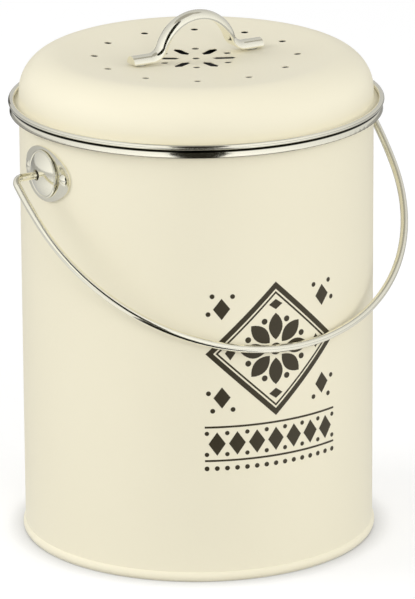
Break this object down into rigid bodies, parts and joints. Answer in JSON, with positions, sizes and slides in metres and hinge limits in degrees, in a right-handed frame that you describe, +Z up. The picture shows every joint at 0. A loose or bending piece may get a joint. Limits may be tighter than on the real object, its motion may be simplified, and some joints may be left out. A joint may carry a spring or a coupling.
{
  "type": "compost caddy",
  "caption": "Round coated-metal pail for kitchen compost, with a bright rolled rim, a swinging wire bail and a lift-off domed lid that is vented over a charcoal filter.",
  "frame": {"origin": "centre of the pail's foot, on the surface it stands on", "axes": "+Z up along the pail's axis, X along the bail's pivot axis through both ears, -Y the front, where the bail hangs"},
  "size_m": [0.2136, 0.1856, 0.2665],
  "materials": {
    "cream_coat": "satin",
    "bright_metal": "polished",
    "zinc_steel": "satin",
    "black_plastic": "matte",
    "charcoal_felt": "matte"
  },
  "bodies": {
    "pail": {"pail_wall": "cream_coat", "pail_base": "cream_coat", "rim_ring": "bright_metal", "ear_left": "bright_metal", "ear_right": "bright_metal", "ear_rivets_left": "bright_metal", "ear_rivets_right": "bright_metal"},
    "bail": {"bail_wire": "bright_metal"},
    "lid": {"lid_dome": "cream_coat", "lid_ring": "bright_metal", "lid_handle": "bright_metal", "handle_studs": "zinc_steel", "handle_washers": "zinc_steel", "handle_nuts": "zinc_steel", "filter_holder": "black_plastic", "charcoal_filter": "charcoal_felt"},
    "cover": {"filter_cover": "black_plastic"}
  },
  "joints": [
    {"name": "bail_swing", "type": "hinge", "parent": "pail", "child": "bail", "pos_m": [0, 0, 0.1969], "axis": [-1, 0, 0], "range_deg": [0, 262]},
    {"name": "lid_lift", "type": "slide", "parent": "pail", "child": "lid", "axis": [0, 0, 1], "range_m": [0, 0.08]},
    {"name": "cover_twist", "type": "hinge", "parent": "lid", "child": "cover", "pos_m": [0, 0, 0.2249], "axis": [0, 0, 1], "range_deg": [0, 20]}
  ]
}
